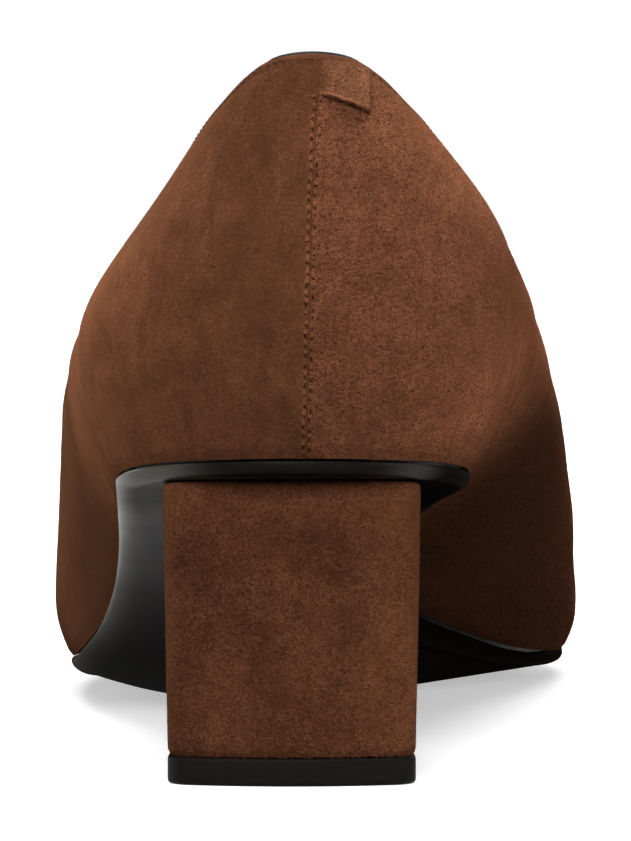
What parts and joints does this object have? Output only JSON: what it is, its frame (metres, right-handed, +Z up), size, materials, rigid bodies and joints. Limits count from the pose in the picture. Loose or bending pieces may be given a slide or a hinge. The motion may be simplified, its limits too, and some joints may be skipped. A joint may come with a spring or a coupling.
{
  "type": "block heel pump",
  "caption": "Left suede pump with an almond toe, open collar and throat, thin black sole and a covered block heel.",
  "frame": {"origin": "middle of the heel tip's flat bottom, on the floor", "axes": "+Y from the heel to the toe, +X to the inner side of the left foot, +Z up"},
  "size_m": [0.0844, 0.2512, 0.1078],
  "materials": {
    "brown_suede": "napped brown suede",
    "tab_suede": "napped brown suede, a little lighter",
    "black_lining": "smooth black lining leather",
    "black_sole": "smooth black, half gloss",
    "block_suede": "napped brown suede over the block",
    "black_rubber": "matt black"
  },
  "bodies": {
    "root": {"upper": "brown_suede", "back_tab": "tab_suede", "insole": "black_lining", "outsole": "black_sole", "heel_block": "block_suede", "heel_tip": "black_rubber"}
  },
  "joints": []
}
